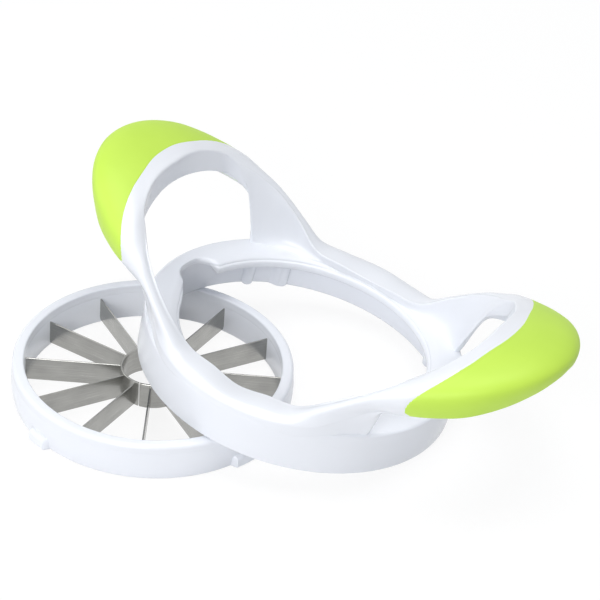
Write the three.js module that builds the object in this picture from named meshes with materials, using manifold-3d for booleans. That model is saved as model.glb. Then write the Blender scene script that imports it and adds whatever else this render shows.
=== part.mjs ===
// Apple slicer and wedger press: a round blade insert lying on the table,
// and the press frame with its two raised grips leaning on the insert's rim.
// Millimetres, +Z up, +X along the line through the two grips.
import * as THREE from 'three';
import { mergeVertices } from 'three/addons/utils/BufferGeometryUtils.js';
import Module from 'manifold-3d';

const wasm = await Module();
wasm.setup();

// Fits between pieces, how far a cut runs past the face it opens, and the size
// below which slivers left where two faces run together are closed up
const fitGap = 0.3;
const overrun = 1;
const sliverSize = 0.005;

// Blade insert: a lower ring with slots, a cap ring over it, blades and a core
const rimInnerRadius = 48.8;
const rimWall = 5.1;
const insertHeight = 15.2;
const wallDraft = 0.8;
const capThickness = 3.6;
const capBevelDrop = 2.4;
const capEdgeRound = 1.5;
const lugCount = 4;
const lugWidth = 10.4;
const lugHeight = 4.8;
const lugProjection = 2.3;
const lugTurn = THREE.MathUtils.degToRad(-107.5);
const lugClearance = 1;
const bladeCount = 12;
const bladeThickness = 0.5;
const bladeEdgeThickness = 0.12;
const bladeEdgeHeight = 1.6;
const bladeSeat = 2.2;
const bladeFoot = 1.2;
const bladeTurn = THREE.MathUtils.degToRad(28.7);
const coreOuterRadius = 12.5;
const coreWall = 0.8;
const coreStand = 0.8;
const coreSeamWidth = 0.45;
const coreSeamTurn = THREE.MathUtils.degToRad(-82);

// Press frame: its ring, the lip that stops the insert, and the bead under it
const ringInnerRadius = rimInnerRadius + rimWall + lugProjection + lugClearance;
const ringWall = 4.3;
const ringTopFlare = 0.8;
const seatClearance = 0.9;
const lipThickness = 2.3;
const lipReach = 7.9;
const beadStep = 0.9;
const beadWidth = 2;
const beadDrop = 1.5;
const shoulderRound = 2.2;
const footRound = 0.5;
const footChamfer = 1;
const notchWidth = 20;
const notchCorner = 3;
const ribRadius = 2.2;
const ribSpread = 14.4;
const ribProjection = 2;
const ribTurn = THREE.MathUtils.degToRad(43);

// Handles: how far the rims stand off the ring and how high they rise. The photo
// shows the right one drawn out a little further and higher than the left.
const fingerReach = 8.5;
const palmReach = 36.6;
const crownReach = 39.5;
const holeReach = 7.7;
const rimRise = 41.9;
const crownRise = 48.2;
const palmRise = 40;
const holeRise = 33.6;
const rightStretch = 3;
const rightLift = 3;
const barBelly = 0.6;
const gripThickness = 1.8;
const recessGap = 0.4;
const gripNose = THREE.MathUtils.degToRad(42.3);
const gripWrapShare = 0.45;

// How the frame leans: the distance between the two centres, and the heading
const centreDistance = 54.3;
const leanHeading = THREE.MathUtils.degToRad(36);

const ringSegments = 96;
const gripSections = 34;
const barSections = 10;
const turnSections = 5;
const webSections = 9;

// Sizes that follow from the ones above
const rimOuterRadius = rimInnerRadius + rimWall;
const capFoot = insertHeight - capThickness;
const bladeHeight = capFoot - fitGap - bladeFoot;
const coreHeight = bladeHeight + coreStand;
const ringOuterRadius = ringInnerRadius + ringWall;
const ringTopRadius = ringOuterRadius + ringTopFlare;
const lipUnderside = insertHeight + seatClearance;
const ringHeight = lipUnderside + lipThickness;
const lipEdgeRadius = ringInnerRadius - lipReach;
const beadInnerRadius = lipEdgeRadius - beadStep;
const beadFoot = lipUnderside - beadDrop;
const webFoot = lipUnderside + lipThickness / 3;

// Colours and finishes
const glossWhite = { color: 0xf1f2fa, roughness: 0.28, metalness: 0 };
const softLime = { color: 0xbfe64b, roughness: 0.55, metalness: 0 };
const brushedSteel = { color: 0xa6a7a3, roughness: 0.35, metalness: 1 };

function named(name, geometry, finish) {
  const mesh = new THREE.Mesh(geometry, new THREE.MeshStandardMaterial(finish));
  mesh.name = name;
  return mesh;
}

function signedVolume(geometry) {
  const places = geometry.getAttribute('position');
  const order = geometry.index.array;
  const corners = [new THREE.Vector3(), new THREE.Vector3(), new THREE.Vector3()];
  let sum = 0;
  for (let i = 0; i < order.length; i += 3) {
    corners.forEach((corner, k) => corner.fromBufferAttribute(places, order[i + k]));
    sum += corners[0].dot(corners[1].cross(corners[2]));
  }
  return sum;
}

// A closed solid from a geometry whose shared corners are merged
function toSolid(source) {
  const loose = source.clone();
  loose.deleteAttribute('normal');
  loose.deleteAttribute('uv');
  const geometry = mergeVertices(loose, 1e-4);
  const triVerts = new Uint32Array(geometry.index.array);
  if (signedVolume(geometry) < 0) {
    for (let i = 0; i < triVerts.length; i += 3) {
      [triVerts[i], triVerts[i + 1]] = [triVerts[i + 1], triVerts[i]];
    }
  }
  const vertProperties = new Float32Array(geometry.getAttribute('position').array);
  return new wasm.Manifold(new wasm.Mesh({ numProp: 3, vertProperties, triVerts }));
}

function toGeometry(solid) {
  const { vertProperties, triVerts } = solid.getMesh();
  const geometry = new THREE.BufferGeometry();
  geometry.setAttribute('position', new THREE.BufferAttribute(vertProperties, 3));
  geometry.setIndex(new THREE.BufferAttribute(triVerts, 1));
  geometry.computeVertexNormals();
  return geometry;
}

// A ring turned round Z from the radius and height pairs of its section
function turned(profile, segments = ringSegments) {
  const points = profile.map(([radius, height]) => new THREE.Vector2(radius, height));
  points.push(points[0].clone());
  const geometry = new THREE.LatheGeometry(points, segments);
  geometry.rotateX(Math.PI / 2);
  return toSolid(geometry);
}

// Points of a quarter round from one angle to another, in degrees
function arc(centreRadius, centreHeight, size, from, to, steps = 4) {
  return Array.from({ length: steps + 1 }, (_, i) => {
    const angle = THREE.MathUtils.degToRad(from + ((to - from) * i) / steps);
    return [centreRadius + size * Math.cos(angle), centreHeight + size * Math.sin(angle)];
  });
}

function placed(geometry, turn, radius, height) {
  geometry.translate(radius, 0, height);
  geometry.rotateZ(turn);
  return geometry;
}

// A plan outline raised along Z
function raised(corners, height) {
  const shape = new THREE.Shape(corners.map(([x, y]) => new THREE.Vector2(x, y)));
  return new THREE.ExtrudeGeometry(shape, { depth: height, bevelEnabled: false });
}

// Lower ring of the insert: its wall, four locking lugs and the blade slots
function lug() {
  const root = rimOuterRadius - rimWall / 2;
  const tip = rimOuterRadius + lugProjection;
  const half = lugWidth / 2;
  const taper = lugProjection * 0.8;
  const section = [[root, -half], [tip - taper, -half], [tip, taper - half], [tip, half - taper],
    [tip - taper, half], [root, half]];
  return raised(section, lugHeight);
}

function bladeSlot() {
  const length = bladeSeat + fitGap + overrun;
  const width = bladeThickness + 2 * fitGap;
  const depth = capFoot - bladeFoot + fitGap + overrun;
  const slot = new THREE.BoxGeometry(length, width, depth);
  slot.translate(rimInnerRadius - overrun + length / 2, 0, bladeFoot - fitGap + depth / 2);
  return slot;
}

function baseRing() {
  const top = capFoot - fitGap;
  const footRadius = rimOuterRadius - wallDraft;
  let solid = turned([
    [rimInnerRadius, 0],
    [footRadius - footRound, 0],
    [footRadius, footRound],
    [rimOuterRadius, insertHeight / 2],
    [footRadius + wallDraft / 2, top],
    [rimInnerRadius, top],
  ]);
  for (let i = 0; i < lugCount; i += 1) {
    const turn = lugTurn + (i * 2 * Math.PI) / lugCount;
    solid = solid.add(toSolid(lug().rotateZ(turn)));
  }
  for (let i = 0; i < bladeCount; i += 1) {
    const turn = bladeTurn + (i * 2 * Math.PI) / bladeCount;
    solid = solid.subtract(toSolid(bladeSlot().rotateZ(turn)));
  }
  return toGeometry(solid);
}

function capRing() {
  const outer = rimOuterRadius - wallDraft / 2;
  const bevel = insertHeight - capBevelDrop;
  const crown = outer - capEdgeRound;
  return toGeometry(turned([
    [rimInnerRadius + capEdgeRound / 3, capFoot],
    [outer, capFoot],
    ...arc(crown, insertHeight - capEdgeRound, capEdgeRound, 0, 90),
    [rimInnerRadius + capEdgeRound, insertHeight],
    [rimInnerRadius, insertHeight - capEdgeRound / 2],
    [rimInnerRadius + capEdgeRound / 3, bevel],
  ]));
}

// Core: a strip rolled into a ring, its ends meeting at a narrow seam
function coreRing() {
  const inner = coreOuterRadius - coreWall;
  let solid = turned([
    [inner, bladeFoot],
    [coreOuterRadius, bladeFoot],
    [coreOuterRadius, bladeFoot + coreHeight],
    [inner, bladeFoot + coreHeight],
  ], ringSegments * 2 / 3);
  const seam = new THREE.BoxGeometry(coreWall + 2 * overrun, coreSeamWidth, coreHeight + 2 * overrun);
  placed(seam, coreSeamTurn, inner + coreWall / 2, bladeFoot + coreHeight / 2);
  solid = solid.subtract(toSolid(seam));
  return toGeometry(solid);
}

// Blade: a flat plate whose lower edge is ground to a narrow cutting edge
function blade(turn) {
  const start = coreOuterRadius + fitGap;
  const length = rimInnerRadius + bladeSeat - start;
  const half = bladeThickness / 2;
  const edge = bladeEdgeThickness / 2;
  const section = [[-edge, 0], [edge, 0], [half, bladeEdgeHeight], [half, bladeHeight],
    [-half, bladeHeight], [-half, bladeEdgeHeight]];
  const geometry = raised(section, length);
  geometry.rotateX(Math.PI / 2);
  geometry.rotateZ(Math.PI / 2);
  geometry.translate(start, 0, bladeFoot);
  geometry.rotateZ(turn);
  return toGeometry(toSolid(geometry));
}

// The handles' guide lines. Each row gives shares of a line's reach, half width and rise
// at every 7.5 degrees of the loop, from a grip's tip to the middle of the ring's side.
const innerShares = [
  [1, 0, 1], [1.001, 0.117, 0.998], [0.997, 0.232, 0.983], [0.986, 0.347, 0.957], [0.959, 0.467, 0.919],
  [0.914, 0.592, 0.85], [0.847, 0.708, 0.75], [0.754, 0.809, 0.616], [0.634, 0.885, 0.458],
  [0.493, 0.938, 0.291], [0.337, 0.969, 0.143], [0.171, 0.989, 0.038], [0, 1, 0],
];
const crownShares = [
  [1, 0, 1], [0.977, 0.359, 0.977], [0.908, 0.639, 0.911], [0.801, 0.802, 0.82], [0.679, 0.88, 0.732],
  [0.571, 0.918, 0.647], [0.487, 0.943, 0.548], [0.429, 0.976, 0.444], [0.382, 1.016, 0.328],
  [0.331, 1.04, 0.201], [0.251, 1.03, 0.089], [0.138, 1.012, 0.018], [0, 1, 0],
];
const outerShares = [
  [1, 0, 1], [0.993, 0.114, 0.968], [0.961, 0.249, 0.88], [0.897, 0.401, 0.758], [0.803, 0.543, 0.635],
  [0.694, 0.64, 0.557], [0.599, 0.692, 0.495], [0.532, 0.711, 0.438], [0.482, 0.729, 0.362],
  [0.422, 0.783, 0.24], [0.325, 0.873, 0.113], [0.18, 0.96, 0.015], [0, 1, 0],
];
const holeShares = [
  [1, 0, 1], [0.994, 0.152, 0.994], [0.977, 0.3, 0.973], [0.952, 0.444, 0.935], [0.921, 0.572, 0.875],
  [0.883, 0.673, 0.804], [0.799, 0.763, 0.622], [0.681, 0.755, 0], [0.622, 0.848, 0],
  [0.497, 0.923, 0], [0.34, 0.951, 0], [0.173, 0.97, 0], [0, 1, 0],
];
const crownRadiusShare = 0.925;

function loopLine(shares, reach, halfWidth, foot, rise) {
  const quarter = shares.length - 1;
  const stations = Array.from({ length: 4 * quarter }, (_, i) => {
    const side = i % (2 * quarter);
    const row = shares[side <= quarter ? side : 2 * quarter - side];
    const alongSign = i > quarter && i < 3 * quarter ? -1 : 1;
    const acrossSign = i > 2 * quarter ? -1 : 1;
    const along = alongSign * row[0] * reach;
    const pull = (Math.max(along, 0) / (ringOuterRadius + palmReach)) ** 2;
    return new THREE.Vector3(
      along + pull * rightStretch,
      acrossSign * row[1] * halfWidth,
      foot + row[2] * rise + pull * rightLift,
    );
  });
  return new THREE.CatmullRomCurve3(stations, true, 'catmullrom', 0.5);
}

const innerLine = loopLine(
  innerShares, ringOuterRadius + fingerReach, lipEdgeRadius, ringHeight, rimRise);
const crownLine = loopLine(
  crownShares, ringOuterRadius + crownReach, ringTopRadius * crownRadiusShare, ringHeight, crownRise);
const outerLine = loopLine(
  outerShares, ringOuterRadius + palmReach, ringTopRadius, ringHeight - shoulderRound, palmRise);
const holeLine = loopLine(
  holeShares, ringOuterRadius + holeReach, lipEdgeRadius, webFoot, holeRise);

function lineAt(line, angle) {
  return line.getPoint(THREE.MathUtils.euclideanModulo(angle / (2 * Math.PI), 1));
}

// A point of the handles' upper face: share 0 is the inner edge and 1 the outer edge
function faceAt(angle, share) {
  const section = new THREE.QuadraticBezierCurve3(
    lineAt(innerLine, angle), lineAt(crownLine, angle), lineAt(outerLine, angle));
  return section.getPoint(share);
}

function faceNormal(angle, share) {
  const step = 0.01;
  const low = Math.max(share - step, 0);
  const high = Math.min(share + step, 1);
  const across = faceAt(angle, high).sub(faceAt(angle, low));
  const along = faceAt(angle + step, share).sub(faceAt(angle - step, share));
  return across.cross(along).normalize();
}

// Angle from the nearer grip's tip, between 0 and a quarter turn
function fromTip(angle) {
  return Math.asin(Math.abs(Math.sin(angle)));
}

function atRadius(point, radius, height) {
  const flat = new THREE.Vector3(point.x, point.y, 0).setLength(radius);
  return flat.setZ(height);
}

// The three lower corners of a section. The last follows the finger hole's edge and
// then the foot of the web; the others lie under the bar, and past the hole they form
// the outside of the web that stands on the ring.
const webStart = THREE.MathUtils.degToRad(45);
const webEnd = THREE.MathUtils.degToRad(52);

function lowerCorners(angle) {
  const outer = lineAt(outerLine, angle);
  const heel = lineAt(holeLine, angle);
  const belly = [1 / 3, 2 / 3].map((share) => {
    const point = outer.clone().lerp(heel, share);
    return point.setZ(point.z - barBelly);
  });
  const webRadius = ringTopRadius - fitGap;
  const web = [
    atRadius(outer, webRadius, Math.max(outer.z - barBelly, webFoot + fitGap)),
    atRadius(outer, webRadius, webFoot),
  ];
  const blend = THREE.MathUtils.smoothstep(fromTip(angle), webStart, webEnd);
  return [...belly.map((point, i) => point.lerp(web[i], blend)), heel];
}

function rimSection(angle) {
  const upperShares = [0, 0.1, 0.25, 0.4, 0.55, 0.7, 0.85, 1];
  return [...upperShares.map((share) => faceAt(angle, share)), ...lowerCorners(angle)];
}

// A ring-shaped solid through closed sections, each patch split along its shorter diagonal
function loopLoft(sections) {
  const count = sections[0].length;
  const points = sections.flat();
  const order = [];
  sections.forEach((_, i) => {
    const next = (i + 1) % sections.length;
    for (let k = 0; k < count; k += 1) {
      const l = (k + 1) % count;
      const [a, b, c, d] = [i * count + k, next * count + k, next * count + l, i * count + l];
      const straight = points[a].distanceTo(points[c]) < points[b].distanceTo(points[d]);
      order.push(...(straight ? [a, b, c, a, c, d] : [a, b, d, b, c, d]));
    }
  });
  const geometry = new THREE.BufferGeometry().setFromPoints(points);
  geometry.setIndex(order);
  return geometry;
}

// Angles of the sections in one quarter of the loop: closer together where the bar
// turns down into the web
function quarterAngles() {
  const parts = [
    [0, webStart, barSections],
    [webStart, webEnd, turnSections],
    [webEnd, Math.PI / 2, webSections],
  ];
  return parts.flatMap(([from, to, steps]) => (
    Array.from({ length: steps }, (_, i) => THREE.MathUtils.lerp(from, to, i / steps))));
}

function handleRims() {
  const quarter = quarterAngles();
  const back = [...quarter.slice(1), Math.PI / 2].reverse().map((angle) => Math.PI - angle);
  const half = [...quarter, ...back];
  const loop = [...half, ...half.map((angle) => Math.PI + angle)];
  return toSolid(loopLoft(loop.map(rimSection)));
}

// A curved plate between two grids of points, with its edges closed
function plateSolid(outerGrid, innerGrid) {
  const rows = outerGrid.length;
  const columns = outerGrid[0].length;
  const geometry = new THREE.BufferGeometry().setFromPoints([...outerGrid.flat(), ...innerGrid.flat()]);
  const outer = (i, k) => i * columns + k;
  const inner = (i, k) => rows * columns + outer(i, k);
  const order = [];
  const quad = (a, b, c, d) => order.push(a, b, c, a, c, d);
  for (let i = 0; i < rows - 1; i += 1) {
    for (let k = 0; k < columns - 1; k += 1) {
      quad(outer(i, k), outer(i + 1, k), outer(i + 1, k + 1), outer(i, k + 1));
      quad(inner(i, k), inner(i, k + 1), inner(i + 1, k + 1), inner(i + 1, k));
    }
    quad(outer(i, 0), inner(i, 0), inner(i + 1, 0), outer(i + 1, 0));
    const last = columns - 1;
    quad(outer(i, last), outer(i + 1, last), inner(i + 1, last), inner(i, last));
  }
  for (let k = 0; k < columns - 1; k += 1) {
    quad(outer(0, k), outer(0, k + 1), inner(0, k + 1), inner(0, k));
    const end = rows - 1;
    quad(outer(end, k), inner(end, k), inner(end, k + 1), outer(end, k + 1));
  }
  geometry.setIndex(order);
  return toSolid(geometry);
}

// Soft grip let into the handle's upper face and turned under its outer edge.
// Clearance grows the body on every side, for the recess that takes it, and over
// is how far that recess stands out past the face.
const gripEdgeShares = [0.107, -0.137, 0.957];
const noseThinShare = 0.45;

function gripBody(side, clearance, over) {
  const nose = gripNose + clearance / ringOuterRadius;
  const tip = side > 0 ? 0 : Math.PI;
  const width = faceAt(tip, 1).distanceTo(faceAt(tip, 0));
  const columns = 10;
  const outerGrid = [];
  const innerGrid = [];
  for (let i = 0; i <= gripSections; i += 1) {
    const along = (2 * i) / gripSections - 1;
    const angle = tip + along * nose;
    const depth = gripThickness * (1 - noseThinShare * along ** 4) + clearance;
    const edge = gripEdgeShares.reduce((sum, share, power) => sum + share * along ** (2 * power), 0);
    const shares = Array.from({ length: columns }, (_, k) => (
      THREE.MathUtils.lerp(edge - clearance / width, 1, k / (columns - 1))));
    const normals = shares.map((share) => faceNormal(angle, share));
    const points = shares.map((share) => faceAt(angle, share));
    const outerEdge = points.at(-1);
    const wrap = lowerCorners(angle)[0].sub(outerEdge).multiplyScalar(gripWrapShare);
    const wrapLength = wrap.length() + clearance;
    wrap.normalize();
    const across = points.at(-2).clone().sub(outerEdge).normalize();
    normals[columns - 1] = across.clone().add(wrap).normalize().negate();
    normals.push(across.clone().addScaledVector(wrap, -across.dot(wrap)).normalize().negate());
    points.push(outerEdge.clone().addScaledVector(wrap, wrapLength));
    outerGrid.push(points.map((point, k) => point.clone().addScaledVector(normals[k], over)));
    innerGrid.push(points.map((point, k) => point.clone().addScaledVector(normals[k], -depth)));
  }
  return plateSolid(outerGrid, innerGrid);
}

function grip(side) {
  return toGeometry(gripBody(side, 0, 0));
}

// Ring of the press frame, with its lip, bead, notches and locking ribs
function frameRing() {
  const shoulder = ringHeight - shoulderRound;
  const beadRadius = beadWidth / 2;
  const solid = turned([
    [ringInnerRadius, footChamfer],
    [ringInnerRadius + footChamfer, 0],
    [ringOuterRadius - footRound, 0],
    [ringOuterRadius, footRound],
    ...arc(ringTopRadius - shoulderRound, shoulder, shoulderRound, 0, 90),
    [lipEdgeRadius, ringHeight],
    [lipEdgeRadius, lipUnderside + lipThickness / 2],
    [beadInnerRadius + beadRadius / 2, lipUnderside + lipThickness / 3],
    ...arc(beadInnerRadius + beadRadius, lipUnderside - beadDrop / 2, beadRadius, 150, 270, 5),
    [beadInnerRadius + beadWidth, lipUnderside],
    [ringInnerRadius, lipUnderside],
  ]);
  return solid;
}

function lipNotch(turn) {
  const length = ringInnerRadius - beadInnerRadius + overrun;
  const half = notchWidth / 2;
  const start = beadInnerRadius - overrun;
  const end = start + length;
  const outline = [[start, -half], [end - notchCorner, -half], [end, notchCorner - half],
    [end, half - notchCorner], [end - notchCorner, half], [start, half]];
  const notch = raised(outline, ringHeight - beadFoot + 2 * overrun);
  notch.translate(0, 0, beadFoot - overrun);
  notch.rotateZ(turn);
  return toSolid(notch);
}

function lockingRib(turn) {
  const rib = new THREE.CylinderGeometry(ribRadius, ribRadius, lipUnderside + fitGap, 16);
  rib.rotateX(Math.PI / 2);
  placed(rib, turn, ringInnerRadius + ribRadius - ribProjection, (lipUnderside + fitGap) / 2);
  return toSolid(rib);
}

function pressFrame() {
  let solid = frameRing();
  for (let i = 0; i < lugCount; i += 1) {
    const station = ribTurn + (i * 2 * Math.PI) / lugCount;
    const halfSpread = ribSpread / 2 / ringInnerRadius;
    solid = solid.add(lockingRib(station - halfSpread));
    solid = solid.add(lockingRib(station + halfSpread));
  }
  solid = solid.add(handleRims());
  for (const side of [1, -1]) {
    solid = solid.subtract(lipNotch(side > 0 ? 0 : Math.PI));
    solid = solid.subtract(gripBody(side, recessGap, overrun));
  }
  return toGeometry(solid.simplify(sliverSize));
}

// Assembly
const insert = new THREE.Group();
insert.add(named('insert_base_ring', baseRing(), glossWhite));
insert.add(named('insert_cap_ring', capRing(), glossWhite));
insert.add(named('core_ring', coreRing(), brushedSteel));
for (let i = 0; i < bladeCount; i += 1) {
  const turn = bladeTurn + (i * 2 * Math.PI) / bladeCount;
  insert.add(named(`blade_${String(i + 1).padStart(2, '0')}`, blade(turn), brushedSteel));
}
insert.position.set(
  -centreDistance * Math.cos(leanHeading), -centreDistance * Math.sin(leanHeading), 0);

const frame = new THREE.Group();
frame.add(named('press_frame', pressFrame(), glossWhite));
frame.add(named('grip_right', grip(1), softLime));
frame.add(named('grip_left', grip(-1), softLime));

// The frame's flat foot touches the table at its far end and the insert's rim where
// the foot's chamfered inner edge crosses the top of the rim.
const rimCrownRadius = rimInnerRadius + rimWall / 2;
const footInnerRadius = ringInnerRadius + footChamfer;
const crossing = (centreDistance ** 2 + footInnerRadius ** 2 - rimCrownRadius ** 2) / (2 * centreDistance);
const leanAngle = Math.asin((insertHeight + fitGap) / (ringOuterRadius + crossing));
const leanAxis = new THREE.Vector3(-Math.sin(leanHeading), Math.cos(leanHeading), 0);
frame.quaternion.setFromAxisAngle(leanAxis, leanAngle);
frame.updateMatrixWorld(true);
frame.position.z = -new THREE.Box3().setFromObject(frame, true).min.z;

// The origin lies under the middle of the whole, on the table
const slicer = new THREE.Group();
slicer.add(insert, frame);
slicer.updateMatrixWorld(true);
const bounds = new THREE.Box3().setFromObject(slicer, true);
const middle = bounds.getCenter(new THREE.Vector3());
slicer.position.set(-middle.x, -middle.y, -bounds.min.z);

export default slicer;
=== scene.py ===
import math

import bmesh
import bpy
from mathutils import Matrix, Vector


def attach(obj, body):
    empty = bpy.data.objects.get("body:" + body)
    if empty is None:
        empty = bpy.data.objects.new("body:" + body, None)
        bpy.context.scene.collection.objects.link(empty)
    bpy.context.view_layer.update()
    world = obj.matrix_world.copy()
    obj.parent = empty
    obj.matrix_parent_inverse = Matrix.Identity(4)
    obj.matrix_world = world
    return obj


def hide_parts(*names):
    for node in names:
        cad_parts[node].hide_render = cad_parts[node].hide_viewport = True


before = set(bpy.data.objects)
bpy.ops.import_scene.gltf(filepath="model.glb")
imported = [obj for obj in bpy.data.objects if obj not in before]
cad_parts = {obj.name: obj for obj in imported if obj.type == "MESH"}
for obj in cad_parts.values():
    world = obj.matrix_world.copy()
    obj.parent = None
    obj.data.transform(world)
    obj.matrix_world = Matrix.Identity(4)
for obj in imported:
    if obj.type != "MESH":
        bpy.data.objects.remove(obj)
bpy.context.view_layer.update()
scene = bpy.context.scene
scene.view_settings.view_transform = "Standard"
mm = 0.001
identity = Matrix.Identity(4)
print("frame loaded")

# Where the two pieces stand, in millimetres and degrees
places = {
    "insert": (-48.911, -20.433, 0.0),
    "frame": (-4.981, 11.483, 9.891),
    "leanHeading": 36.0,
    "leanAngle": 9.335,
}
# Degrees past which an edge is shaded sharp, and the metres under which points merge
meshSizes = {"sharpAngle": 40.0, "steelSharpAngle": 25.0, "mergeDistance": 1e-6}


def smoothStep(value, low, high):
    share = min(max((value - low) / (high - low), 0.0), 1.0)
    return share * share * (3.0 - 2.0 * share)


def mix(a, b, share):
    return a + (b - a) * share


def insertPlacement():
    return Matrix.Translation(Vector(places["insert"]) * mm) @ Matrix.Scale(mm, 4)


def framePlacement():
    heading = math.radians(places["leanHeading"])
    axis = Vector((-math.sin(heading), math.cos(heading), 0.0))
    lean = Matrix.Rotation(math.radians(places["leanAngle"]), 4, axis)
    return Matrix.Translation(Vector(places["frame"]) * mm) @ lean @ Matrix.Scale(mm, 4)


def shadeBy(mesh, sharpAngle):
    mesh.polygons.foreach_set("use_smooth", [True] * len(mesh.polygons))
    mesh.set_sharp_from_angle(angle=math.radians(sharpAngle))
    mesh.update()


def newObject(name, points, faces, placement, sharpAngle=meshSizes["sharpAngle"]):
    mesh = bpy.data.meshes.new(name)
    mesh.from_pydata([placement @ Vector(point) for point in points], [], faces)
    cleaned = bmesh.new()
    cleaned.from_mesh(mesh)
    bmesh.ops.remove_doubles(cleaned, verts=cleaned.verts, dist=meshSizes["mergeDistance"])
    bmesh.ops.recalc_face_normals(cleaned, faces=cleaned.faces)
    cleaned.to_mesh(mesh)
    cleaned.free()
    shadeBy(mesh, sharpAngle)
    obj = bpy.data.objects.new(name, mesh)
    scene.collection.objects.link(obj)
    return obj


# Faces between neighbouring closed sections that all have the same number of points
def sideFaces(sectionPairs, pointCount):
    faces = []
    for i, j in sectionPairs:
        for k in range(pointCount):
            n = (k + 1) % pointCount
            faces.append((i * pointCount + k, j * pointCount + k, j * pointCount + n, i * pointCount + n))
    return faces


# A ring through sections, the last of which joins the first
def ringObject(name, sections, placement, sharpAngle=meshSizes["sharpAngle"]):
    count = len(sections)
    faces = sideFaces([(i, (i + 1) % count) for i in range(count)], len(sections[0]))
    points = [point for section in sections for point in section]
    return newObject(name, points, faces, placement, sharpAngle)


# A bar through sections, with its two ends closed
def barObject(name, sections, placement, sharpAngle=meshSizes["sharpAngle"]):
    size = len(sections[0])
    last = len(sections) - 1
    faces = sideFaces([(i, i + 1) for i in range(last)], size)
    faces += [tuple(range(size)), tuple(last * size + k for k in range(size))]
    points = [point for section in sections for point in section]
    return newObject(name, points, faces, placement, sharpAngle)


def around(radius, angle, height):
    return Vector((radius * math.cos(angle), radius * math.sin(angle), height))


# Points of a round corner, angles in degrees
def roundCorner(radius, height, size, fromAngle, toAngle, steps):
    corner = []
    for i in range(steps + 1):
        angle = math.radians(mix(fromAngle, toAngle, i / steps))
        corner.append((radius + size * math.cos(angle), height + size * math.sin(angle)))
    return corner


# A closed ring turned round Z; profileAt gives the radius and height pairs at an angle
def turnedRing(name, profileAt, angles, placement, sharpAngle=meshSizes["sharpAngle"]):
    sections = [[around(radius, angle, height) for radius, height in profileAt(angle)] for angle in angles]
    return ringObject(name, sections, placement, sharpAngle)


# Materials: noises are scale, detail and roughness, bumps are strength and distance in metres

finishes = {
    "white": {
        "color": (0.875, 0.898, 0.95), "tint": (0.865, 0.889, 0.942), "roughness": 0.24, "spread": 0.02,
        "cloud": (35.0, 4.0, 0.5), "cloudRamp": (0.3, 0.7), "handling": (160.0, 5.0, 0.6),
        "skin": (420.0, 2.0, 0.5), "bump": (0.05, 0.00003), "ior": 1.49,
    },
    "lime": {
        "color": (0.60, 0.865, 0.10), "tint": (0.555, 0.82, 0.085), "roughness": 0.5, "spread": 0.04,
        "cloud": (30.0, 3.0, 0.5), "cloudRamp": (0.32, 0.68), "handling": (220.0, 4.0, 0.6),
        "skin": (1500.0, 2.0, 0.5), "bump": (0.25, 0.00008), "ior": 1.46,
    },
    "steel": {
        "color": (0.43, 0.43, 0.41), "tint": (0.28, 0.28, 0.27), "roughness": 0.24, "spread": 0.08,
        "stretch": (60.0, 60.0, 2600.0), "streaks": (1.0, 4.0, 0.65), "streakShare": 0.6,
        "cloud": (90.0, 3.0, 0.5), "cloudShare": 0.4, "cloudRamp": (0.3, 0.7), "bump": (0.2, 0.00004),
    },
}


class Nodes:
    def __init__(self, name):
        self.material = bpy.data.materials.new(name)
        self.material.use_nodes = True
        self.tree = self.material.node_tree
        self.shader = self.tree.nodes["Principled BSDF"]

    def add(self, kind, **values):
        node = self.tree.nodes.new(kind)
        for key, value in values.items():
            setattr(node, key, value)
        return node

    def link(self, source, target):
        self.tree.links.new(source, target)


def noiseOn(nodes, source, scale, detail, roughness):
    noise = nodes.add("ShaderNodeTexNoise")
    noise.inputs["Scale"].default_value = scale
    noise.inputs["Detail"].default_value = detail
    noise.inputs["Roughness"].default_value = roughness
    nodes.link(source, noise.inputs["Vector"])
    return noise.outputs["Fac"]


# The base colour runs from the look's tint to its colour
def colorFrom(nodes, source, look):
    ramp = nodes.add("ShaderNodeValToRGB")
    for element, position, color in zip(ramp.color_ramp.elements, look["cloudRamp"],
                                        (look["tint"], look["color"])):
        element.position = position
        element.color = (*color, 1.0)
    nodes.link(source, ramp.inputs["Fac"])
    nodes.link(ramp.outputs["Color"], nodes.shader.inputs["Base Color"])


def glossFrom(nodes, source, look):
    gloss = nodes.add("ShaderNodeMapRange")
    gloss.inputs["To Min"].default_value = look["roughness"] - look["spread"]
    gloss.inputs["To Max"].default_value = look["roughness"] + look["spread"]
    nodes.link(source, gloss.inputs["Value"])
    nodes.link(gloss.outputs["Result"], nodes.shader.inputs["Roughness"])


def bumpFrom(nodes, source, look):
    bump = nodes.add("ShaderNodeBump")
    bump.inputs["Strength"].default_value, bump.inputs["Distance"].default_value = look["bump"]
    nodes.link(source, bump.inputs["Height"])
    nodes.link(bump.outputs["Normal"], nodes.shader.inputs["Normal"])


# Moulded plastic: a faint cloud in its colour, gloss dulled by handling, and a fine skin
def makeMoulded(name, look):
    nodes = Nodes(name)
    place = nodes.add("ShaderNodeTexCoord").outputs["Object"]
    colorFrom(nodes, noiseOn(nodes, place, *look["cloud"]), look)
    glossFrom(nodes, noiseOn(nodes, place, *look["handling"]), look)
    bumpFrom(nodes, noiseOn(nodes, place, *look["skin"]), look)
    nodes.shader.inputs["IOR"].default_value = look["ior"]
    return nodes.material


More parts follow.
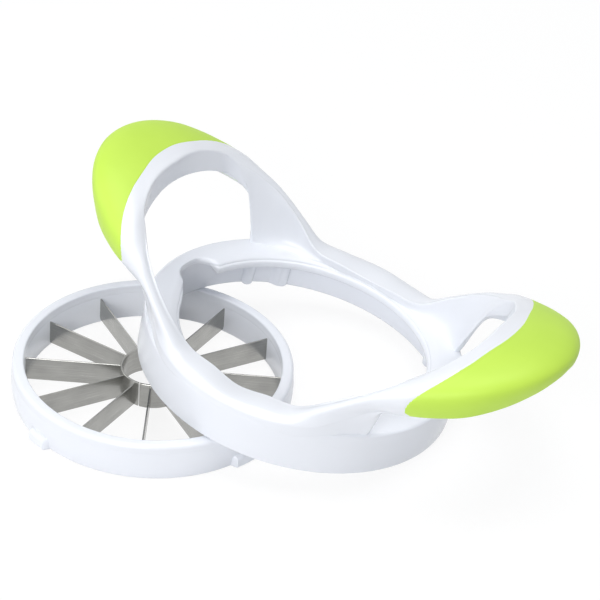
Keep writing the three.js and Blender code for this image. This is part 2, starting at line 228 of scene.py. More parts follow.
# Rolled strip: fine streaks along the strip, which carries its own "strip" coordinates
def makeRolledSteel(look):
    nodes = Nodes("rolledSteel")
    strip = nodes.add("ShaderNodeAttribute", attribute_name="strip").outputs["Vector"]
    stretch = nodes.add("ShaderNodeMapping")
    stretch.inputs["Scale"].default_value = look["stretch"]
    nodes.link(strip, stretch.inputs["Vector"])
    streaks = noiseOn(nodes, stretch.outputs["Vector"], *look["streaks"])
    clouds = nodes.add("ShaderNodeMath", operation="MULTIPLY")
    nodes.link(noiseOn(nodes, strip, *look["cloud"]), clouds.inputs[0])
    clouds.inputs[1].default_value = look["cloudShare"]
    blend = nodes.add("ShaderNodeMath", operation="MULTIPLY_ADD")
    nodes.link(streaks, blend.inputs[0])
    blend.inputs[1].default_value = look["streakShare"]
    nodes.link(clouds.outputs[0], blend.inputs[2])
    colorFrom(nodes, blend.outputs[0], look)
    glossFrom(nodes, streaks, look)
    bumpFrom(nodes, streaks, look)
    nodes.shader.inputs["Metallic"].default_value = 1.0
    return nodes.material


whitePlastic = makeMoulded("glossyWhitePlastic", finishes["white"])
softLime = makeMoulded("softTouchLime", finishes["lime"])
rolledSteel = makeRolledSteel(finishes["steel"])
print("materials ready")


def finishPiece(obj, material, slot, body, *nodes):
    obj.data.materials.clear()
    obj.data.materials.append(material)
    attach(obj, body)
    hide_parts(*nodes)


# Copies turned round Z, for blades, lugs, ribs and ramps

def turnedCopiesTree():
    tree = bpy.data.node_groups.new("turnedCopies", "GeometryNodeTree")
    face = tree.interface
    for name, kind in (("Geometry", "Geometry"), ("Count", "Int"), ("First Turn", "Float"),
                       ("Step Turn", "Float"), ("Material", "Material")):
        face.new_socket(name, in_out="INPUT", socket_type=f"NodeSocket{kind}")
    face.new_socket("Geometry", in_out="OUTPUT", socket_type="NodeSocketGeometry")
    start = tree.nodes.new("NodeGroupInput")
    end = tree.nodes.new("NodeGroupOutput")
    points = tree.nodes.new("GeometryNodePoints")
    index = tree.nodes.new("GeometryNodeInputIndex")
    turn = tree.nodes.new("ShaderNodeMath")
    turn.operation = "MULTIPLY_ADD"
    turnVector = tree.nodes.new("ShaderNodeCombineXYZ")
    copies = tree.nodes.new("GeometryNodeInstanceOnPoints")
    realize = tree.nodes.new("GeometryNodeRealizeInstances")
    paint = tree.nodes.new("GeometryNodeSetMaterial")
    link = tree.links.new
    link(start.outputs["Count"], points.inputs["Count"])
    link(index.outputs[0], turn.inputs[0])
    link(start.outputs["Step Turn"], turn.inputs[1])
    link(start.outputs["First Turn"], turn.inputs[2])
    link(turn.outputs[0], turnVector.inputs["Z"])
    link(points.outputs[0], copies.inputs["Points"])
    link(start.outputs["Geometry"], copies.inputs["Instance"])
    link(turnVector.outputs[0], copies.inputs["Rotation"])
    link(copies.outputs[0], realize.inputs[0])
    link(realize.outputs[0], paint.inputs["Geometry"])
    link(start.outputs["Material"], paint.inputs["Material"])
    link(paint.outputs[0], end.inputs["Geometry"])
    return tree


turnedCopies = turnedCopiesTree()


# Spreads copies of an object evenly round Z, then moves the plain result to its place
def spreadRound(obj, count, firstTurn, material, placement, sharpAngle=meshSizes["sharpAngle"]):
    modifier = obj.modifiers.new("copies", "NODES")
    modifier.node_group = turnedCopies
    values = {"Count": count, "First Turn": math.radians(firstTurn),
              "Step Turn": math.tau / count, "Material": material}
    for item in turnedCopies.interface.items_tree:
        if item.in_out == "INPUT" and item.name in values:
            modifier[item.identifier] = values[item.name]
    bpy.context.view_layer.update()
    evaluated = obj.evaluated_get(bpy.context.evaluated_depsgraph_get())
    mesh = bpy.data.meshes.new_from_object(evaluated)
    obj.modifiers.remove(modifier)
    obj.data = mesh
    mesh.transform(placement)
    shadeBy(mesh, sharpAngle)


# Blade insert: radii and heights in millimetres; pairs are steps out or in and up or down

insertSizes = {
    "innerRadius": 48.8, "outerRadius": 53.9, "height": 15.2, "ringSteps": 240,
    "footRadius": 53.1, "footRound": 0.6, "footBevel": (0.25, 0.35), "wallMiddle": 6.0,
    "wallBulge": [(-0.35, 3.0), (0.0, 6.5), (0.0, 8.0), (-0.2, 10.2)],
    "seamGap": 0.02, "seamBevel": (0.1, 0.15),
    "capFoot": 11.6, "capOuter": 53.5, "capInset": 0.05, "capStep": 0.9, "edgeRound": 1.6,
    "crown": (51.0, 0.05), "innerEdge": 1.0, "innerRound": 0.7, "innerBevel": [(0.15, 2.3), (0.05, 2.6)],
}
lugSizes = {
    "count": 4, "firstTurn": -107.5, "halfWidth": 5.2, "height": 4.8, "reach": 2.3, "flatShare": 0.8,
    "root": 1.6, "sunk": 0.5, "rootFoot": 0.1, "rootRise": 0.4, "steps": 18,
    "lowerEdge": [(-0.4, 0.1), (0.0, 0.5)], "upperEdge": [(0.0, -1.4), (-0.4, -0.6), (-1.2, 0.0)],
}


def insertWallProfile(angle):
    s = insertSizes
    inner, outer, size = s["innerRadius"], s["outerRadius"], s["footRound"]
    top = s["capFoot"] - s["seamGap"]
    footOut, footUp = s["footBevel"]
    seamOut, seamDown = s["seamBevel"]
    return ([(inner + footOut, 0.0)]
            + roundCorner(s["footRadius"] - size, size, size, -90, 0, steps=4)
            + [(outer + out, up) for out, up in s["wallBulge"]]
            + [(s["capOuter"], top), (inner + seamOut, top), (inner, top - seamDown)]
            + [(inner, s["wallMiddle"]), (inner, footUp)])


def insertCapProfile(angle):
    s = insertSizes
    inner, outer, foot, height = s["innerRadius"], s["capOuter"], s["capFoot"], s["height"]
    size, innerSize = s["edgeRound"], s["innerRound"]
    crownRadius, crownRise = s["crown"]
    return ([(inner + s["capInset"], foot), (outer, foot), (outer, foot + s["capStep"])]
            + roundCorner(outer - size, height - size, size, 0, 90, steps=7)
            + [(crownRadius, height + crownRise)]
            + roundCorner(inner + s["innerEdge"], height - innerSize, innerSize, 90, 180, steps=5)
            + [(inner + out, height - down) for out, down in s["innerBevel"]])


# One lug with sloping ends and a rounded top edge, made at angle zero
def lugSections():
    s = lugSizes
    outer, high = insertSizes["outerRadius"], s["height"]
    root = outer - s["root"]
    sections = []
    for i in range(s["steps"] + 1):
        across = mix(-1.0, 1.0, i / s["steps"])
        tip = outer - s["sunk"] + s["reach"] * (1.0 - smoothStep(abs(across), s["flatShare"], 1.0))
        outline = ([(root, s["rootFoot"])] + [(tip + out, up) for out, up in s["lowerEdge"]]
                   + [(tip + out, high + up) for out, up in s["upperEdge"]] + [(root, high + s["rootRise"])])
        turn = across * s["halfWidth"] / outer
        sections.append([around(radius, turn, height) for radius, height in outline])
    return sections


def makeInsert():
    steps = insertSizes["ringSteps"]
    angles = [math.tau * i / steps for i in range(steps)]
    wall = turnedRing("insertWall", insertWallProfile, angles, insertPlacement())
    lugs = barObject("insertLugs", lugSections(), identity)
    spreadRound(lugs, lugSizes["count"], lugSizes["firstTurn"], whitePlastic, insertPlacement())
    finishPiece(wall, whitePlastic, "white_plastic", "blade_insert", "insert_base_ring")
    finishPiece(lugs, whitePlastic, "white_plastic", "blade_insert", "insert_base_ring")
    cap = turnedRing("insertCap", insertCapProfile, angles, insertPlacement())
    finishPiece(cap, whitePlastic, "white_plastic", "blade_insert", "insert_cap_ring")


makeInsert()
print("insert ring ready")

bladeSizes = {
    "count": 12, "firstTurn": 28.7, "start": 12.45, "end": 49.3, "foot": 1.2, "height": 10.0,
    "thickness": 0.55, "edgeHeight": 1.6, "edgeThickness": 0.1, "topBevel": (0.1, 0.12), "steps": 12,
}
coreSizes = {
    "outer": 12.5, "wall": 0.8, "foot": 1.2, "height": 10.8, "seamTurn": -82.0, "seamWidth": 0.5,
    "footBevel": (0.1, 0.15), "topBevel": (0.12, 0.15), "steps": 140,
}


def stripAttribute(mesh, valueAt):
    attribute = mesh.attributes.new("strip", "FLOAT_VECTOR", "POINT")
    for vertex, item in zip(mesh.vertices, attribute.data):
        item.vector = valueAt(vertex.co)


def makeBlades():
    s = bladeSizes
    half, edge, foot = s["thickness"] / 2, s["edgeThickness"] / 2, s["foot"]
    ground, top = foot + s["edgeHeight"], foot + s["height"]
    bevelIn, bevelDown = s["topBevel"]
    outline = [(-edge, foot), (edge, foot), (half, ground), (half, top - bevelDown), (half - bevelIn, top),
               (bevelIn - half, top), (-half, top - bevelDown), (-half, ground)]
    sections = []
    for i in range(s["steps"] + 1):
        along = mix(s["start"], s["end"], i / s["steps"])
        sections.append([(along, across, height) for across, height in outline])
    sharpAngle = meshSizes["steelSharpAngle"]
    blades = barObject("blades", sections, identity, sharpAngle)
    stripAttribute(blades.data, lambda co: co * mm)
    spreadRound(blades, s["count"], s["firstTurn"], rolledSteel, insertPlacement(), sharpAngle)
    finishPiece(blades, rolledSteel, "blade_steel", "blade_insert",
                *[f"blade_{i + 1:02d}" for i in range(s["count"])])


# Core: a strip rolled into a ring, its ends a hair apart
def makeCore():
    s = coreSizes
    inner, outer = s["outer"] - s["wall"], s["outer"]
    foot, top = s["foot"], s["foot"] + s["height"]
    footIn, footUp = s["footBevel"]
    topIn, topDown = s["topBevel"]
    outline = [(inner + footIn, foot), (outer - footIn, foot), (outer, foot + footUp),
               (outer, top - topDown), (outer - topIn, top), (inner + topIn, top),
               (inner, top - topDown), (inner, foot + footUp)]
    halfSeam = s["seamWidth"] / 2 / outer
    first = math.radians(s["seamTurn"]) + halfSeam
    last = math.radians(s["seamTurn"]) + math.tau - halfSeam
    sections = []
    for i in range(s["steps"] + 1):
        angle = mix(first, last, i / s["steps"])
        sections.append([around(radius, angle, height) for radius, height in outline])
    core = barObject("coreRing", sections, insertPlacement(), meshSizes["steelSharpAngle"])
    centre = Vector(places["insert"]) * mm
    stripAttribute(core.data, lambda co: (math.atan2(co.y - centre.y, co.x - centre.x) * outer * mm,
                                          (co - centre).xy.length, co.z))
    finishPiece(core, rolledSteel, "blade_steel", "blade_insert", "core_ring")


makeBlades()
makeCore()
print("blades and core ready")

# Press frame: ring with lip, bead, notches and locking ribs. Pairs of the lip go out from
# its edge and down from the top, pairs of the bead go out from its face and up or down.

ringSizes = {
    "inner": 57.2, "outer": 61.5, "topOuter": 62.15, "height": 18.4, "innerLevels": (12.0, 6.0),
    "innerFoot": [(0.0, 0.9), (0.3, 0.25), (0.9, 0.0)], "footRound": 0.6, "footAngle": -70.0,
    "flare": [(0.25, 6.0), (0.5, 12.0)], "shoulders": (1.1, 2.6), "shoulderTurns": (35.0, 60.0),
    "lip": 49.4, "seat": 16.1, "seatRound": 0.5, "notchLedge": 0.05,
    "lipTop": [(5.2, 0.0), (3.6, 0.0), (2.8, 0.06), (2.0, 0.3), (0.8, 0.75), (0.35, 0.95), (0.05, 1.3),
               (0.0, 1.7)],
    "bead": 48.5, "beadFoot": 13.5, "beadEnds": (49.6, 52.5), "beadTop": [(0.35, 1.95), (0.05, 2.2)],
    "beadUnder": [(0.1, 0.4), (0.5, 0.0), (1.3, 0.0), (1.9, 0.5)], "beadWidth": 2.3,
    "fineTurn": 25.0, "fineStep": 0.5, "coarseStep": 1.25, "sharpAngle": 50.0,
}
# How far out the lip's edge stands, by degrees from a grip's axis, where it has its notch
notchEdges = [(-90.0, 49.4), (-15.2, 49.4), (-14.2, 50.9), (-12.0, 53.4), (-9.0, 56.1), (-5.0, 56.6),
              (0.0, 56.6), (2.5, 56.1), (4.5, 54.9), (8.0, 51.9), (14.5, 50.3), (22.0, 49.4), (90.0, 49.4)]
notchSoftening = (-0.8, -0.4, 0.0, 0.4, 0.8)
# Locking ribs, two in a group. A level is a share of the radius and a height, and a point
# of the ramp is a step out from the ring's inner wall and degrees past the lower rib.
ribSizes = {
    "groups": 4, "turn": 44.2, "halfSpread": 7.3, "radius": 2.5, "reach": 2.4, "sides": 24, "intoSeat": 0.3,
    "levels": [(0.35, 0.0), (0.75, 0.3), (0.95, 0.9), (1.0, 1.7), (1.0, 8.0)], "rampFoot": 0.3,
    "rampOutline": [(0.4, 5.4), (0.0, 4.9), (-0.6, 3.9), (-1.7, 2.0), (-1.8, 0.0), (0.4, 0.0)],
}


# Degrees from the nearest grip's axis, from -90 to 90
def gripOffset(degrees):
    return (degrees + 90.0) % 180.0 - 90.0


def notchEdge(offset):
    for (before, low), (after, high) in zip(notchEdges, notchEdges[1:]):
        if offset <= after:
            return mix(low, high, (offset - before) / (after - before))
    return notchEdges[-1][1]


def lipProfile(edge):
    s = ringSizes
    inner, height, lip, seat, seatRound = s["inner"], s["height"], s["lip"], s["seat"], s["seatRound"]
    bead = 1.0 - smoothStep(edge, *s["beadEnds"])
    face = mix(lip, s["bead"], bead)
    foot = mix(seat, s["beadFoot"], bead)
    faceMiddle = mix(foot, height - s["beadTop"][-1][1], 0.5)
    outline = ([(lip + out, height - down) for out, down in s["lipTop"]]
               + [(face + out, height - down) for out, down in s["beadTop"]] + [(face, faceMiddle)]
               + [(face + out, foot + up) for out, up in s["beadUnder"]]
               + [(face + s["beadWidth"], seat), (inner - seatRound, seat), (inner, seat - seatRound)])
    # a notch squeezes the lip towards the wall, where a thin ledge of it stays
    share = (inner - s["notchLedge"] - edge) / (inner - lip)
    return [(inner - (inner - radius) * share if radius > lip else radius + edge - lip, up)
            for radius, up in outline]


def ringProfile(angle):
    s = ringSizes
    offset = gripOffset(math.degrees(angle))
    edge = sum(notchEdge(offset + shift) for shift in notchSoftening) / len(notchSoftening)
    size = mix(*s["shoulders"], smoothStep(abs(offset), *s["shoulderTurns"]))
    inner, outer, footSize = s["inner"], s["outer"], s["footRound"]
    return ([(inner + out, up) for out, up in s["innerFoot"]] + [(outer - footSize, 0.0)]
            + roundCorner(outer - footSize, footSize, footSize, s["footAngle"], 0, steps=3)
            + [(outer + out, up) for out, up in s["flare"]]
            + roundCorner(s["topOuter"] - size, s["height"] - size, size, 0, 90, steps=8)
            + lipProfile(edge) + [(inner, level) for level in s["innerLevels"]])


def ringAngles():
    s = ringSizes
    angles = []
    degrees = 0.0
    while degrees < 360.0:
        angles.append(math.radians(degrees))
        degrees += s["fineStep"] if abs(gripOffset(degrees)) < s["fineTurn"] else s["coarseStep"]
    return angles


# Half-round locking rib with a rounded lower end, standing at angle zero
def ribSections():
    s = ribSizes
    centre = ringSizes["inner"] + s["radius"] - s["reach"]
    levels = s["levels"] + [(1.0, ringSizes["seat"] + s["intoSeat"])]
    angles = [math.tau * k / s["sides"] for k in range(s["sides"])]
    return [[around(s["radius"] * share, angle, height) + Vector((centre, 0.0, 0.0)) for angle in angles]
            for share, height in levels]


# The ramp that leads up to each lower rib
def rampSections():
    s = ribSizes
    return [[around(ringSizes["inner"] + out, math.radians(turn), height) for out, turn in s["rampOutline"]]
            for height in (s["rampFoot"], ringSizes["seat"] + s["intoSeat"])]


def makeRing():
    s = ribSizes
    ring = turnedRing("frameRing", ringProfile, ringAngles(), framePlacement(), ringSizes["sharpAngle"])
    finishPiece(ring, whitePlastic, "white_plastic", "frame", "press_frame")
    lowTurn, highTurn = s["turn"] - s["halfSpread"], s["turn"] + s["halfSpread"]
    for name, sections, turn in (("lockRibsLow", ribSections(), lowTurn),
                                 ("lockRibsHigh", ribSections(), highTurn),
                                 ("lockRamps", rampSections(), lowTurn)):
        piece = barObject(name, sections, identity)
        spreadRound(piece, s["groups"], turn, whitePlastic, framePlacement())
        finishPiece(piece, whitePlastic, "white_plastic", "frame", "press_frame")


makeRing()
print("frame ring ready")

# Handles: one band round both grips and down into the ring, from guide lines that
# give along, across and up at every 7.5 degrees from a grip's tip to the ring's side

handleLines = {
    "inner": [
        (70.0, 0, 60.3), (70.1, 5.7, 60.2), (69.8, 11.3, 59.6), (69.0, 16.9, 58.5), (67.1, 22.7, 56.9),
        (64.0, 29.2, 54.0), (59.3, 33.8, 49.9), (52.8, 39.8, 44.6), (44.4, 44.9, 38.4), (34.5, 47.2, 30.2),
        (23.6, 47.0, 21.9), (12.0, 48.2, 20.5), (0, 49.7, 19.2),
    ],
    "crown": [
        (101.0, 0, 66.6), (98.7, 20.7, 65.5), (91.7, 36.8, 62.3), (80.9, 46.2, 57.9), (68.6, 50.7, 53.7),
        (57.7, 52.9, 49.6), (49.6, 54.2, 44.6), (43.1, 56.0, 39.6), (37.7, 57.0, 33.9), (30.8, 58.1, 28.1),
        (22.3, 58.6, 22.8), (12.9, 60.4, 22.3), (0, 63.0, 22.3),
    ],
    "outer": [
        (98.1, 0, 56.2), (97.4, 7.1, 54.9), (94.3, 15.5, 51.4), (88.0, 25.0, 46.5), (78.8, 33.8, 41.6),
        (68.1, 39.9, 38.5), (58.8, 42.6, 36.1), (52.2, 43.7, 34.2), (47.2, 44.6, 31.1), (41.6, 47.6, 26.7),
        (31.9, 53.9, 20.6), (17.5, 59.6, 17.9), (0, 62.2, 17.4),
    ],
    "hole": [
        (69.2, 0, 50.5), (68.8, 7.5, 50.3), (67.6, 14.8, 49.6), (65.9, 21.9, 48.3), (63.7, 28.2, 46.3),
        (61.1, 33.2, 43.9), (51.5, 37.1, 34.6), (48.5, 37.7, 16.0), (42.6, 41.4, 16.5), (34.4, 45.5, 16.5),
        (23.5, 46.5, 16.5), (12.0, 47.9, 16.5), (0, 49.5, 16.5),
    ],
}
# The bar round a finger hole. Shares go over the top, back underneath, where each has its
# share of the belly, and up the inner wall. A belly below zero hollows the underside.
handleSizes = {
    "stations": 12, "reach": 98.1, "rightStretch": 3.0, "rightLift": 3.0,
    "topShares": (0.0, 0.05, 0.14, 0.26, 0.4, 0.54, 0.68, 0.81, 0.92, 1.0),
    "rimShare": 0.05, "rimDrop": 0.5, "underShares": ((0.3, 1.0), (0.55, 1.0), (0.8, 0.5), (0.96, 0.0)),
    "wallShares": (0.0, 0.1, 0.5, 0.86), "bellies": (0.6, -4.0), "bellyTurns": (20.0, 38.0),
    "sections": 360, "perInterval": 4, "fitRounds": 6, "sharpAngle": 180.0,
}
# The web past the hole, where the underside becomes the outside and the foot. Turns are
# degrees from a grip's tip, depths and rises are from the ring's flange.
webSizes = {
    "turns": (45.0, 52.0), "slant": 3.0, "outerPoints": 5, "outer": 61.3, "wallOuter": 62.25,
    "flankTurns": (64.0, 78.0), "thickness": 2.6, "leastWall": 0.1, "flange": 18.4,
    "lowRise": 0.2, "lowDepth": 3.0, "lowUnderOuter": 1.5, "rim": (0.12, 0.7),
    "sideShares": ((0.45, 0.35), (0.85, 0.75), (1.0, 1.0)), "wallShare": 0.6,
    "outerFoot": (0.8, 2.0), "innerFoot": (0.8, 1.4, 3.0),
    "fillet": 4.5, "filletTurns": (52.0, 66.0), "filletStop": 50.8, "filletRiseShare": 0.75,
    "filletEdgeShare": 0.12, "toeDepth": 0.5, "toeRise": 0.04, "toeBlend": 1.5,
}


def lineStation(line, index):
    quarter = handleSizes["stations"]
    index %= 4 * quarter
    side = index % (2 * quarter)
    along, across, up = handleLines[line][side if side <= quarter else 2 * quarter - side]
    alongSign = -1.0 if quarter < index < 3 * quarter else 1.0
    acrossSign = -1.0 if index > 2 * quarter else 1.0
    # the right handle is drawn out a little further and higher than the left
    pull = (max(alongSign * along, 0.0) / handleSizes["reach"]) ** 2
    return Vector((alongSign * along + pull * handleSizes["rightStretch"], acrossSign * across,
                   up + pull * handleSizes["rightLift"]))


# A smooth curve through the line's stations
def linePoint(line, degrees):
    place = degrees / 90.0 * handleSizes["stations"]
    index = math.floor(place)
    share = place - index
    p0, p1, p2, p3 = (lineStation(line, index + k) for k in (-1, 0, 1, 2))
    return 0.5 * (2.0 * p1 + (p2 - p0) * share + (2.0 * p0 - 5.0 * p1 + 4.0 * p2 - p3) * share ** 2
                  + (3.0 * p1 - p0 - 3.0 * p2 + p3) * share ** 3)


def atRadius(point, radius, height):
    flat = Vector((point.x, point.y, 0.0))
    flat = flat * (radius / flat.length)
    return Vector((flat.x, flat.y, height))


# Degrees from the nearest grip's tip, from 0 to 90
def turnFromTip(degrees):
    return math.degrees(math.asin(abs(math.sin(math.radians(degrees)))))


def barPoints(inner, outer, hole, fromTip):
    s = handleSizes
    down = Vector((0.0, 0.0, -1.0))
    belly = mix(*s["bellies"], smoothStep(fromTip, *s["bellyTurns"]))
    return ([outer.lerp(hole, s["rimShare"]) + s["rimDrop"] * down]
            + [outer.lerp(hole, share) + bellyShare * belly * down for share, bellyShare in s["underShares"]]
            + [hole.lerp(inner, share) for share in s["wallShares"]])


def webPoints(inner, outer, hole, fromTip):
    s = webSizes
    outerRadius, flange = outer.xy.length, s["flange"]
    wall = max(inner.z - hole.z, s["leastWall"])
    foot = hole.lerp(inner, min(max((flange - hole.z) / wall, 0.0), 1.0))
    flank = smoothStep(fromTip, *s["flankTurns"])
    side = min(outerRadius, mix(s["outer"], s["wallOuter"], flank))
    foot = atRadius(foot, min(foot.xy.length, side - s["thickness"]), foot.z)
    footRadius = foot.xy.length
    rise = max(inner.z - flange, 0.0)
    fillet = smoothStep(fromTip, *s["filletTurns"])
    fillet *= min(max(footRadius - s["filletStop"], 0.0), s["fillet"], s["filletRiseShare"] * rise)
    toeHeight = flange + mix(-s["toeDepth"], s["toeRise"], smoothStep(fillet, 0.0, s["toeBlend"]))
    toeRadius = footRadius - fillet
    low = min(flange + mix(s["lowRise"], -s["lowDepth"], flank), outer.z - s["lowUnderOuter"])
    rimShare, rimDrop = s["rim"]
    outerIn, outerDown = s["outerFoot"]
    innerOut, innerIn, innerDown = s["innerFoot"]
    edge = s["filletEdgeShare"] * fillet
    return ([atRadius(outer, mix(outerRadius, side, rimShare), outer.z - rimDrop)]
            + [atRadius(outer, mix(outerRadius, side, outShare), mix(outer.z, low, downShare))
               for outShare, downShare in s["sideShares"]]
            + [atRadius(outer, side - outerIn, low - outerDown),
               atRadius(foot, min(toeRadius + innerOut, side - innerIn), flange - innerDown),
               atRadius(foot, toeRadius, toeHeight),
               atRadius(foot, footRadius - edge, flange + edge),
               foot.lerp(inner, s["wallShare"])])


# Control points of one section: over the band, back underneath, and up the inner wall
def handleSection(degrees):
    s, w = handleSizes, webSizes
    inner, crown, outer, hole = (linePoint(name, degrees) for name in ("inner", "crown", "outer", "hole"))
    top = [(1 - t) ** 2 * inner + 2 * t * (1 - t) * crown + t * t * outer for t in s["topShares"]]
    fromTip = turnFromTip(degrees)
    bar = barPoints(inner, outer, hole, fromTip)
    web = webPoints(inner, outer, hole, fromTip)
    outerShare = smoothStep(fromTip - w["slant"], *w["turns"])
    innerShare = smoothStep(fromTip, *w["turns"])
    wanted = top + [a.lerp(b, outerShare if k < w["outerPoints"] else innerShare)
                    for k, (a, b) in enumerate(zip(bar, web))]
    # the curve passes through the face's points and rounds off the others
    control = [point.copy() for point in wanted]
    for _ in range(s["fitRounds"]):
        for k in range(len(top)):
            curve = (control[k - 1] + 4.0 * control[k] + control[k + 1]) / 6.0
            control[k] = control[k] + (wanted[k] - curve)
    return control


# A point of a smooth closed curve drawn by its control points
def onSection(control, place):
    count = len(control)
    index = math.floor(place)
    t = place - index
    p0, p1, p2, p3 = (control[(index + k) % count] for k in (-1, 0, 1, 2))
    return ((1 - t) ** 3 * p0 + (3 * t ** 3 - 6 * t * t + 4) * p1
            + (-3 * t ** 3 + 3 * t * t + 3 * t + 1) * p2 + t ** 3 * p3) / 6.0


# Grips: "edge" gives the share of the face where the lime starts, from the middle, at 0,
# to the nose, at 1, by even powers, and "wrap" how far it goes under the outer edge
gripSizes = {
    "nose": 42.3, "edge": (0.107, -0.137, 0.957), "wrap": 0.55, "proud": 0.03, "depth": 0.75,
    "rimDepth": 0.6, "rimRound": (-0.25, 0.55), "recess": 0.8, "recessSides": (0.15, 0.7),
    "recessNose": (0.02, 0.06), "alongSteps": 96, "acrossSteps": 40, "noseCrowding": 1.25,
    "edgeCrowding": 0.6, "sharpAngle": 60.0,
}


# Where a share of the band's width falls among the section's control points
def placeOfShare(share):
    shares = handleSizes["topShares"]
    share = min(max(share, 0.0), 1.0)
    for k in range(len(shares) - 1):
        if share <= shares[k + 1]:
            return k + (share - shares[k]) / (shares[k + 1] - shares[k])
    return float(len(shares) - 1)


# The first and last place of the lime across a section
def gripSpan(along):
    a, b, c = gripSizes["edge"]
    outerEdge = len(handleSizes["topShares"]) - 1
    return placeOfShare(a + b * along ** 2 + c * along ** 4), outerEdge + gripSizes["wrap"]


def gridNormals(grid, loopRows=False):
    rows, columns = len(grid), len(grid[0])
    normals = []
    for i in range(rows):
        before = grid[(i - 1) % rows if loopRows else max(i - 1, 0)]
        after = grid[(i + 1) % rows if loopRows else min(i + 1, rows - 1)]
        row = []
        for k in range(columns):
            across = grid[i][min(k + 1, columns - 1)] - grid[i][max(k - 1, 0)]
            row.append(across.cross(after[k] - before[k]).normalized())
        normals.append(row)
    return normals


# The band, sunk a little where a grip is moulded over it
def makeHandles():
    s, g = handleSizes, gripSizes
    count = s["sections"]
    grid = []
    for i in range(count):
        control = handleSection(360.0 * i / count)
        total = len(control) * s["perInterval"]
        grid.append([onSection(control, k / s["perInterval"]) for k in range(total)])
    normals = gridNormals(grid, loopRows=True)
    sections = []
    for i, row in enumerate(grid):
        along = turnFromTip(360.0 * i / count) / g["nose"]
        start, end = gripSpan(min(along, 1.0))
        noseShare = smoothStep(1.0 - along, *g["recessNose"])
        section = []
        for k, point in enumerate(row):
            place = k / s["perInterval"]
            sunk = smoothStep(min(place - start, end - place), *g["recessSides"]) * noseShare
            section.append(point - normals[i][k] * g["recess"] * sunk)
        sections.append(section)
    band = ringObject("frameHandles", sections, framePlacement(), s["sharpAngle"])
    finishPiece(band, whitePlastic, "white_plastic", "frame", "press_frame")


# Soft grip: follows the band's face, and its edges turn down into it
def makeGrip(name, centre, node):
    g = gripSizes
    rows, columns = g["alongSteps"], g["acrossSteps"]
    grid = []
    for i in range(rows + 1):
        along = mix(-1.0, 1.0, i / rows)
        along = math.copysign(1.0 - (1.0 - abs(along)) ** g["noseCrowding"], along)
        control = handleSection(centre + along * g["nose"])
        start, end = gripSpan(along)
        row = []
        for k in range(columns + 1):
            share = k / columns
            share = mix(share, smoothStep(share, 0.0, 1.0), g["edgeCrowding"])
            row.append(onSection(control, mix(start, end, share)))
        grid.append(row)
    normals = gridNormals(grid)

    def lift(i, k):
        toEdge = min((grid[i][k] - grid[i][0]).length, (grid[i][k] - grid[i][columns]).length)
        toNose = min((grid[i][k] - grid[0][k]).length, (grid[i][k] - grid[rows][k]).length)
        return mix(-g["rimDepth"], g["proud"], smoothStep(min(toEdge, toNose), *g["rimRound"]))

    outer = [[grid[i][k] + normals[i][k] * lift(i, k) for k in range(columns + 1)] for i in range(rows + 1)]
    under = [[grid[i][k] - normals[i][k] * g["depth"] for k in range(columns + 1)] for i in range(rows + 1)]
    points = [point for row in outer + under for point in row]
    wide = columns + 1
    back = (rows + 1) * wide
    faces = []
    for i in range(rows):
        for k in range(columns):
            a, b, c, d = i * wide + k, (i + 1) * wide + k, (i + 1) * wide + k + 1, i * wide + k + 1
            faces.append((a, b, c, d))
            faces.append((back + a, back + d, back + c, back + b))
        for k in (0, columns):
            a, b = i * wide + k, (i + 1) * wide + k
            faces.append((a, b, back + b, back + a))
    for i in (0, rows):
        for k in range(columns):
            a, b = i * wide + k, i * wide + k + 1
            faces.append((a, b, back + b, back + a))
    grip = newObject(name, points, faces, framePlacement(), g["sharpAngle"])
    finishPiece(grip, softLime, "lime_grip", "frame", node)


makeHandles()
makeGrip("gripRight", 0.0, "grip_right")
makeGrip("gripLeft", 180.0, "grip_left")
print("handles and grips ready")

# Floor, lights and camera. The camera sees the floor as "floorShown" lit by the lamps, which
# keeps the shadow, plus "floorGlow"; the press is lit by "floorColor". Lengths are in metres.

stageSizes = {
    "floorHalf": 3.0, "floorDrop": 0.0002, "floorColor": (0.86, 0.86, 0.87), "floorRoughness": 0.9,
    "floorShown": 0.16, "floorGlow": 0.86, "worldLight": 0.25, "worldTint": (0.93, 0.96, 1.0),
}


# One where the camera, a reflection or a clear material looks straight at the background
def backgroundRays(tree):
    rays = tree.nodes.new("ShaderNodeLightPath")
    source = rays.outputs["Is Camera Ray"]
    for kind in ("Is Glossy Ray", "Is Transmission Ray"):
        either = tree.nodes.new("ShaderNodeMath")
        either.operation = "MAXIMUM"
        tree.links.new(source, either.inputs[0])
        tree.links.new(rays.outputs[kind], either.inputs[1])
        source = either.outputs[0]
    return source


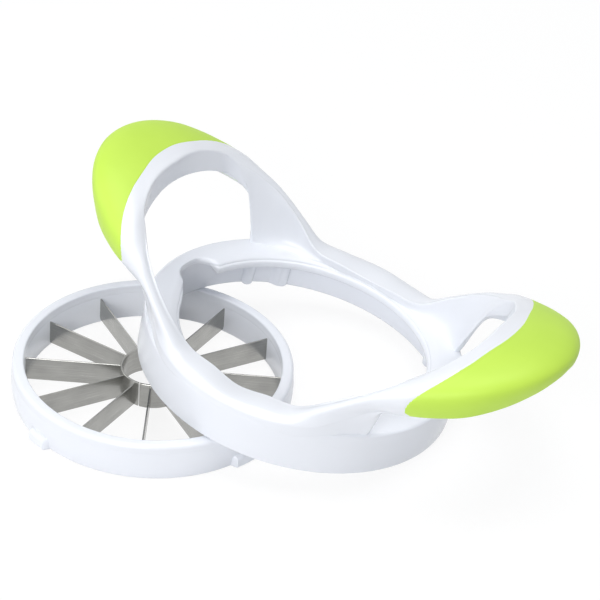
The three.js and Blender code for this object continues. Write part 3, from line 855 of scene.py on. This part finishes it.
def makeFloor():
    s = stageSizes
    half = s["floorHalf"]
    floor = newObject("floor", [(-half, -half, 0), (half, -half, 0), (half, half, 0), (-half, half, 0)],
                      [(0, 1, 2, 3)], Matrix.Translation((0, 0, -s["floorDrop"])))
    nodes = Nodes("paleFloor")
    nodes.shader.inputs["Roughness"].default_value = s["floorRoughness"]
    nodes.shader.inputs["Specular IOR Level"].default_value = 0.0
    nodes.shader.inputs["Base Color"].default_value = (*s["floorColor"], 1.0)
    seen = nodes.add("ShaderNodeBsdfDiffuse")
    seen.inputs["Color"].default_value = (s["floorShown"],) * 3 + (1.0,)
    glow = nodes.add("ShaderNodeEmission")
    glow.inputs["Strength"].default_value = s["floorGlow"]
    both = nodes.add("ShaderNodeAddShader")
    nodes.link(seen.outputs[0], both.inputs[0])
    nodes.link(glow.outputs[0], both.inputs[1])
    chooser = nodes.add("ShaderNodeMixShader")
    nodes.link(backgroundRays(nodes.tree), chooser.inputs["Fac"])
    nodes.link(nodes.shader.outputs[0], chooser.inputs[1])
    nodes.link(both.outputs[0], chooser.inputs[2])
    nodes.link(chooser.outputs[0], nodes.tree.nodes["Material Output"].inputs["Surface"])
    floor.data.materials.append(nodes.material)


def makeWorld():
    world = bpy.data.worlds.new("softStudio")
    world.use_nodes = True
    tree = world.node_tree
    tree.nodes.clear()
    plain = tree.nodes.new("ShaderNodeBackground")
    plain.inputs["Color"].default_value = (*stageSizes["worldTint"], 1.0)
    plain.inputs["Strength"].default_value = stageSizes["worldLight"]
    shown = tree.nodes.new("ShaderNodeBackground")
    shown.inputs["Color"].default_value = (1.0, 1.0, 1.0, 1.0)
    shown.inputs["Strength"].default_value = 1.0
    chooser = tree.nodes.new("ShaderNodeMixShader")
    output = tree.nodes.new("ShaderNodeOutputWorld")
    tree.links.new(backgroundRays(tree), chooser.inputs["Fac"])
    tree.links.new(plain.outputs[0], chooser.inputs[1])
    tree.links.new(shown.outputs[0], chooser.inputs[2])
    tree.links.new(chooser.outputs[0], output.inputs["Surface"])
    scene.world = world


# Panels: name, place and width in metres, power in watts; each faces the middle of the press
lightPanels = [
    ("panelTop", (0.0, 0.1, 1.3), 0.9, 8.3),
    ("panelFront", (0.25, -1.1, 0.75), 0.6, 6.7),
    ("panelKey", (-0.29, -0.96, 0.5), 0.6, 1.3),
    ("panelLeft", (-0.75, -0.55, 0.95), 0.7, 1.6),
    ("panelSide", (-1.1, -0.4, 0.5), 0.6, 1.4),
]
pressMiddle = Vector((0.0, 0.0, 0.03))


def makeLights():
    for name, place, width, power in lightPanels:
        data = bpy.data.lights.new(name, "AREA")
        data.size = width
        data.energy = power
        panel = bpy.data.objects.new(name, data)
        panel.location = place
        panel.rotation_euler = (pressMiddle - Vector(place)).to_track_quat("-Z", "Y").to_euler()
        scene.collection.objects.link(panel)


# Target, distance, lens and sensor width in millimetres, the rest in degrees
cameraSizes = {
    "target": (-34.015, 65.189, 0.0), "heading": 28.2, "elevation": 35.18, "roll": 4.77,
    "distance": 1013.64, "lens": 149.73, "sensor": 36.0,
}


def makeCamera():
    s = cameraSizes
    heading, elevation, roll = (math.radians(s[key]) for key in ("heading", "elevation", "roll"))
    forward = Vector((-math.sin(heading) * math.cos(elevation),
                      math.cos(heading) * math.cos(elevation), -math.sin(elevation)))
    level = Vector((math.cos(heading), math.sin(heading), 0.0))
    upright = level.cross(forward)
    right = level * math.cos(roll) + upright * math.sin(roll)
    up = right.cross(forward)
    data = bpy.data.cameras.new("photoCamera")
    data.lens = s["lens"]
    data.sensor_width = s["sensor"]
    camera = bpy.data.objects.new("photoCamera", data)
    place = Vector(s["target"]) * mm - forward * s["distance"] * mm
    turn = Matrix((right, up, -forward)).transposed().to_4x4()
    camera.matrix_world = Matrix.Translation(place) @ turn
    scene.collection.objects.link(camera)
    scene.camera = camera


makeFloor()
makeWorld()
makeLights()
makeCamera()
print("stage ready")
